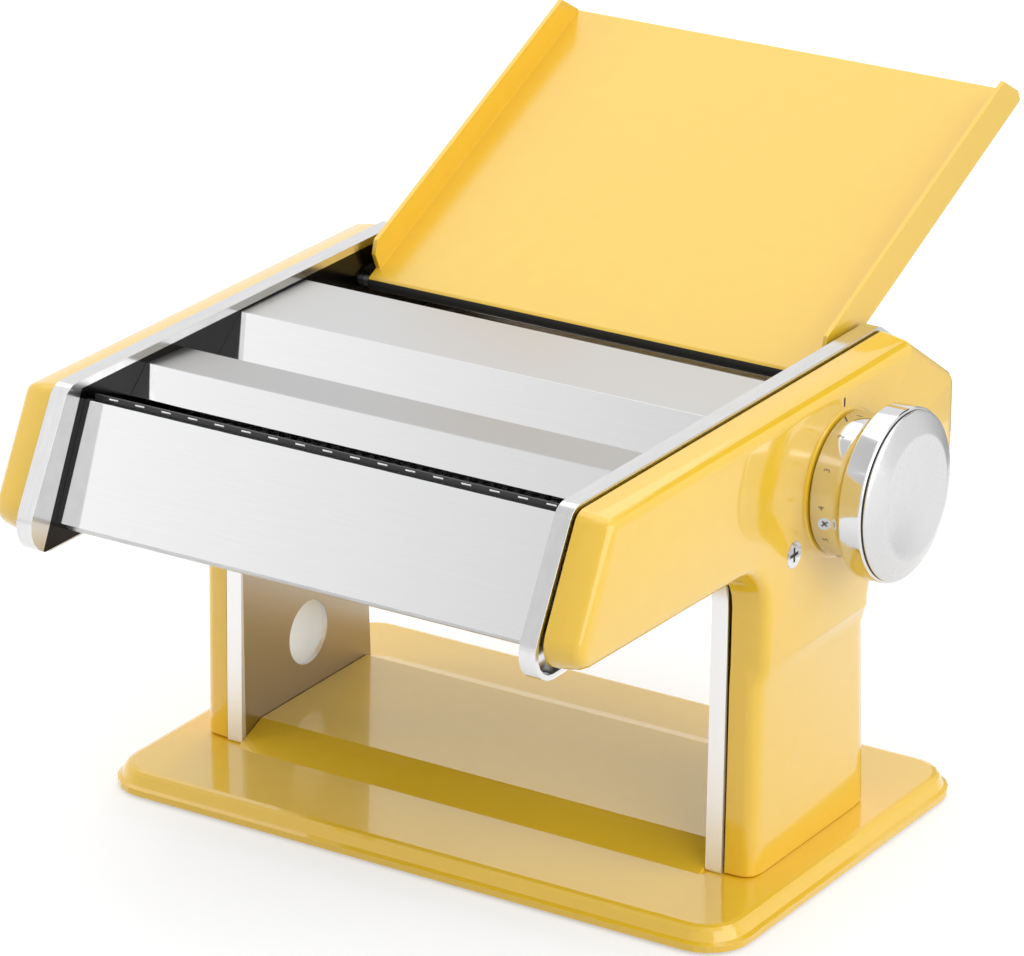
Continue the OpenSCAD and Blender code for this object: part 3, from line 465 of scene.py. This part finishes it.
def dial_number(label, turn):
    """A number standing on the barrel, its foot towards the cap, at a turn from the top."""
    name = "dial_number_" + label
    curve = bpy.data.curves.new(name, "FONT")
    curve.body = label
    curve.size = NUMBER_SIZE
    curve.align_x = "CENTER"
    text = bpy.data.objects.new(name, curve)
    scene.collection.objects.link(text)
    bpy.context.view_layer.update()
    flat = bpy.data.meshes.new_from_object(text)
    bpy.data.objects.remove(text)
    shape = bmesh.new()
    shape.from_mesh(flat)
    bpy.data.meshes.remove(flat)
    bmesh.ops.remove_doubles(shape, verts=shape.verts, dist=NUMBER_MERGE)
    bmesh.ops.subdivide_edges(shape, edges=shape.edges, cuts=2)
    body = bmesh.ops.extrude_face_region(shape, geom=shape.faces[:])
    raised = [v for v in body["geom"] if isinstance(v, bmesh.types.BMVert)]
    bmesh.ops.translate(shape, verts=raised, vec=(0.0, 0.0, NUMBER_THICK))
    for vert in shape.verts:
        across, along, out = vert.co
        angle = turn - across / BARREL_R
        radius = BARREL_R - NUMBER_SUNK + out
        vert.co = (NUMBER_FOOT - along, KNOB_Y - radius * math.sin(angle),
                   KNOB_Z + radius * math.cos(angle))
    new_piece(name, shape, dial_ink, "thickness_knob")


for number in range(NUMBERS):
    dial_number(str(number + 1), NUMBER_STEP * number)


# Small pieces: a strip of painted shade above the wide slot with painted highlights in it, and
# painted shade in small recesses

# Steps in a full ring and in a turn of wire, sides of the wire, and how near corners merge
RING_STEPS = 96
COIL_STEPS = 40
WIRE_SIDES = 12
MERGE_REACH = 0.000002


def ring(name, start, end, inner, outer, finish, body):
    """A ring about the knob's axis, spun from its section."""
    shape = bmesh.new()
    section = ((start, inner), (start, outer), (end, outer), (end, inner))
    verts = [shape.verts.new((x, KNOB_Y, KNOB_Z + r)) for x, r in section]
    edges = [shape.edges.new((verts[i], verts[(i + 1) % 4])) for i in range(4)]
    bmesh.ops.spin(shape, geom=verts + edges, cent=(0.0, KNOB_Y, KNOB_Z), axis=(1.0, 0.0, 0.0),
                   angle=math.tau, steps=RING_STEPS, use_merge=True)
    bmesh.ops.remove_doubles(shape, verts=shape.verts, dist=MERGE_REACH)
    soften(new_piece(name, shape, finish, body))


def coil(name, start, end, radius, wire, turns, finish, body):
    """A round-wire spring about the knob's axis, spun from its wire's section."""
    shape = bmesh.new()
    place = Matrix.Translation((start + wire, KNOB_Y, KNOB_Z + radius))
    bmesh.ops.create_circle(shape, segments=WIRE_SIDES, radius=wire,
                            matrix=place @ Matrix.Rotation(math.radians(90), 4, "X"))
    steps = round(COIL_STEPS * turns)
    rise = (end - start - 2 * wire) / steps
    bmesh.ops.spin(shape, geom=shape.verts[:] + shape.edges[:], cent=(0.0, KNOB_Y, KNOB_Z),
                   axis=(1.0, 0.0, 0.0), dvec=(rise, 0.0, 0.0), angle=math.tau * turns, steps=steps)
    bmesh.ops.holes_fill(shape, edges=shape.edges[:], sides=0)
    piece = new_piece(name, shape, finish, body)
    soften(piece)
    return piece


def boxes(name, blocks, edge, finish):
    """Soft-edged blocks, each given by two opposite corners, as one piece."""
    shape = bmesh.new()
    for low, high in blocks:
        middle = [(a + b) / 2 for a, b in zip(low, high)]
        size = [b - a for a, b in zip(low, high)]
        matrix = Matrix.Translation(middle) @ Matrix.Diagonal((*size, 1.0))
        bmesh.ops.create_cube(shape, size=1.0, matrix=matrix)
    bmesh.ops.bevel(shape, geom=shape.edges[:], offset=edge, affect="EDGES", segments=2,
                    profile=0.5, material=-1)
    soften(new_piece(name, shape, finish))


# Painted shade: a dark strip along the slot's edge; painted highlights: the light dashes in it
EDGE_Y = -0.1036
EDGE_LOW = 0.1393
EDGE_HALF, EDGE_THICK, EDGE_TALL = 0.0785, 0.0009, 0.0018
DASH_PITCH, DASH_HALF = 0.009, 0.0016
DASHES_EACH_WAY = 8
DASH_FRONT, DASH_BACK = EDGE_Y - 0.0001, EDGE_Y + 0.0006
DASH_LOW, DASH_HIGH = EDGE_LOW + 0.001, EDGE_LOW + 0.0015
boxes("slot_painted_shade", [((-EDGE_HALF, EDGE_Y, EDGE_LOW),
                     (EDGE_HALF, EDGE_Y + EDGE_THICK, EDGE_LOW + EDGE_TALL))],
      edge=0.0002, finish=black_plastic)
boxes("slot_painted_glints",
      [((DASH_PITCH * i - DASH_HALF, DASH_FRONT, DASH_LOW),
        (DASH_PITCH * i + DASH_HALF, DASH_BACK, DASH_HIGH))
       for i in range(-DASHES_EACH_WAY, DASHES_EACH_WAY + 1)],
      edge=0.0001, finish=guide_steel)

# Index mark on the right cover, above the knob
INDEX_LOW, INDEX_HIGH = 0.1366, 0.1391
INDEX_HALF = 0.0004
INDEX_DEEP, INDEX_PROUD = COVER_FACE - 0.0005, COVER_FACE + 0.00005
boxes("index_mark", [((INDEX_DEEP, KNOB_Y - INDEX_HALF, INDEX_LOW),
                      (INDEX_PROUD, KNOB_Y + INDEX_HALF, INDEX_HIGH))],
      edge=0.00005, finish=black_plastic)

# Painted shade: a black cross in the right cover's screw, for the dark of its recess
SCREW_Y, SCREW_Z = -0.01605, 0.1011
CROSS_ARM, CROSS_HALF = 0.00215, 0.00048
CROSS_DEEP, CROSS_HIGH = COVER_FACE - 0.0009, COVER_FACE - 0.0003
boxes("screw_cross_shade",
      [((CROSS_DEEP, SCREW_Y - CROSS_HALF, SCREW_Z - CROSS_ARM),
        (CROSS_HIGH, SCREW_Y + CROSS_HALF, SCREW_Z + CROSS_ARM)),
       ((CROSS_DEEP, SCREW_Y - CROSS_ARM, SCREW_Z - CROSS_HALF),
        (CROSS_HIGH, SCREW_Y - CROSS_HALF, SCREW_Z + CROSS_HALF)),
       ((CROSS_DEEP, SCREW_Y + CROSS_HALF, SCREW_Z - CROSS_HALF),
        (CROSS_HIGH, SCREW_Y + CROSS_ARM, SCREW_Z + CROSS_HALF))],
      edge=0.00005, finish=black_plastic)

# Painted shade: a black ring in the groove between the cap and the barrel's flange
LINE_BACK, LINE_FRONT = FLANGE_X + 0.00005, FLANGE_X + 0.00035
LINE_INNER, LINE_OUTER = 0.0238, 0.0246
ring("cap_groove_shade", LINE_BACK, LINE_FRONT, LINE_INNER, LINE_OUTER, black_plastic,
     "thickness_knob")

# The knob's spring, wound against its washer, in place of the imported one
SPRING_START, SPRING_END = 0.1013, 0.1100
SPRING_R, SPRING_WIRE, SPRING_TURNS = 0.007, 0.0006, 4.5
spring = coil("wound_spring", SPRING_START, SPRING_END, SPRING_R, SPRING_WIRE, SPRING_TURNS,
              plain_steel, "thickness_dial")
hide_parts("knob_spring")
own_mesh(spring)


# Studio: pale floor, soft lamps and cards that only reflections see

def flat_sheet(name, size, matrix):
    """A square of the studio, of that half size, placed by the matrix."""
    shape = bmesh.new()
    bmesh.ops.create_grid(shape, x_segments=1, y_segments=1, size=size)
    bmesh.ops.transform(shape, matrix=matrix, verts=shape.verts)
    mesh = bpy.data.meshes.new(name)
    shape.to_mesh(mesh)
    shape.free()
    piece = bpy.data.objects.new(name, mesh)
    scene.collection.objects.link(piece)
    return piece


def background_rays(tree):
    """1 for rays that show the background: from the camera, off gloss or through clear pieces."""
    path = tree.nodes.new("ShaderNodeLightPath")
    seen = add(tree, "ShaderNodeMath", operation="MAXIMUM",
               sockets={0: path.outputs["Is Camera Ray"], 1: path.outputs["Is Glossy Ray"]})
    clear = add(tree, "ShaderNodeMath", operation="MAXIMUM",
                sockets={0: seen.outputs[0], 1: path.outputs["Is Transmission Ray"]})
    return clear.outputs[0]


FLOOR_HALF = 2.6
FLOOR_DROP = 0.0004
FLOOR_TONE = 0.6
FLOOR_LIFT = 0.46
floor_paint = bpy.data.materials.new("floor_paint")
floor_paint.use_nodes = True
tree = floor_paint.node_tree
shader = tree.nodes["Principled BSDF"]
shader.inputs["Base Color"].default_value = (FLOOR_TONE, FLOOR_TONE, FLOOR_TONE, 1.0)
shader.inputs["Roughness"].default_value = 0.9
shader.inputs["Emission Color"].default_value = (1.0, 1.0, 1.0, 1.0)
lift = add(tree, "ShaderNodeMath", operation="MULTIPLY",
           sockets={0: background_rays(tree), 1: FLOOR_LIFT})
tree.links.new(lift.outputs[0], shader.inputs["Emission Strength"])
floor = flat_sheet("floor", FLOOR_HALF, Matrix.Translation((0, 0, -FLOOR_DROP)))
floor.data.materials.append(floor_paint)


def lamp(name, place, target, size, watts):
    """A soft box that points from its place to the target."""
    light = bpy.data.lights.new(name, "AREA")
    light.shape = "RECTANGLE"
    light.size, light.size_y = size
    light.energy = watts
    item = bpy.data.objects.new(name, light)
    item.location = place
    item.rotation_euler = (Vector(target) - Vector(place)).to_track_quat("-Z", "Y").to_euler()
    scene.collection.objects.link(item)
    return item


# The main boxes point at the head; the two that only fill point lower and leave no reflection
HEAD_MIDDLE = (0, 0, 0.08)
LEG_MIDDLE = (0, 0, 0.04)
lamp("right_box", (1.5, -0.3, 0.9), HEAD_MIDDLE, size=(2.0, 1.6), watts=18.0)
lamp("top_box", (-0.35, 0.3, 1.75), HEAD_MIDDLE, size=(2.2, 2.2), watts=11.5)
for name, place, watts in (("left_box", (-1.5, -0.45, 0.5), 9.0),
                           ("back_box", (-0.3, 1.6, 0.5), 12.0)):
    lamp(name, place, LEG_MIDDLE, size=(1.2, 1.0), watts=watts).visible_glossy = False


# Half the width over which a card shades from its first to its second tone
CARD_REACH = 0.12


def card(name, place, target, size, first, second):
    """A sheet that only reflections see, shading along X from first to second."""
    aim = (Vector(target) - Vector(place)).to_track_quat("-Z", "Y").to_matrix().to_4x4()
    sheet = flat_sheet(name, 0.5, Matrix.Translation(place) @ aim
                       @ Matrix.Diagonal((size[0], size[1], 1.0, 1.0)))
    mat = bpy.data.materials.new(name)
    mat.use_nodes = True
    tree = mat.node_tree
    tree.nodes.remove(tree.nodes["Principled BSDF"])
    glow = add(tree, "ShaderNodeEmission")
    place_on = add(tree, "ShaderNodeSeparateXYZ",
                   sockets={0: add(tree, "ShaderNodeTexCoord").outputs["Object"]})
    tone = add(tree, "ShaderNodeMapRange",
               sockets={"Value": place_on.outputs["X"], "From Min": place[0] - CARD_REACH,
                        "From Max": place[0] + CARD_REACH, "To Min": first, "To Max": second})
    tree.links.new(tone.outputs[0], glow.inputs["Strength"])
    tree.links.new(glow.outputs[0], tree.nodes["Material Output"].inputs["Surface"])
    sheet.data.materials.append(mat)
    sheet.visible_camera = False
    sheet.visible_diffuse = False
    sheet.visible_shadow = False
    sheet.visible_transmission = False
    sheet.visible_volume_scatter = False


PLATE_MIDDLE = (0.0, -0.113, 0.124)
FUNNEL_MIDDLE = (0.0, -0.07, 0.137)
CAP_MIDDLE = (0.118, KNOB_Y, KNOB_Z)
BARREL_MIDDLE = (0.11, KNOB_Y, KNOB_Z)
card("plate_card", (-0.4, -0.73, 0.42), PLATE_MIDDLE, size=(0.6, 0.5), first=1.12, second=0.74)
card("funnel_card", (-0.4, -0.32, 0.785), FUNNEL_MIDDLE, size=(0.7, 0.6), first=1.1, second=0.72)
card("cap_card", (0.17, 0.33, 0.1), CAP_MIDDLE, size=(0.34, 0.24), first=0.3, second=1.0)
card("knob_card", (0.145, 0.42, 0.45), BARREL_MIDDLE, size=(0.25, 0.2), first=0.02, second=0.02)

# World: how bright it is on the object, and as the background
FILL_LEVEL, BACKGROUND_LEVEL = 0.52, 1.0
world = bpy.data.worlds.new("studio")
scene.world = world
world.use_nodes = True
tree = world.node_tree
sky = tree.nodes["Background"]
sky.inputs["Color"].default_value = (1.0, 1.0, 1.0, 1.0)
level = add(tree, "ShaderNodeMapRange",
            sockets={"Value": background_rays(tree), "To Min": FILL_LEVEL,
                     "To Max": BACKGROUND_LEVEL})
tree.links.new(level.outputs[0], sky.inputs["Strength"])


# Camera at the photograph's angle
SENSOR_WIDTH, LENS = 36.0, 198.4
CAMERA_PLACE = (0.8122, -1.2774, 0.7001)
CAMERA_TURN, CAMERA_RISE = math.radians(32.67), math.radians(21.69)
camera = bpy.data.objects.new("camera", bpy.data.cameras.new("camera"))
scene.collection.objects.link(camera)
camera.data.sensor_width = SENSOR_WIDTH
camera.data.lens = LENS
camera.location = CAMERA_PLACE
back = Vector((math.sin(CAMERA_TURN) * math.cos(CAMERA_RISE),
               -math.cos(CAMERA_TURN) * math.cos(CAMERA_RISE), math.sin(CAMERA_RISE)))
camera.rotation_euler = (-back).to_track_quat("-Z", "Y").to_euler()
scene.camera = camera

bpy.context.view_layer.update()
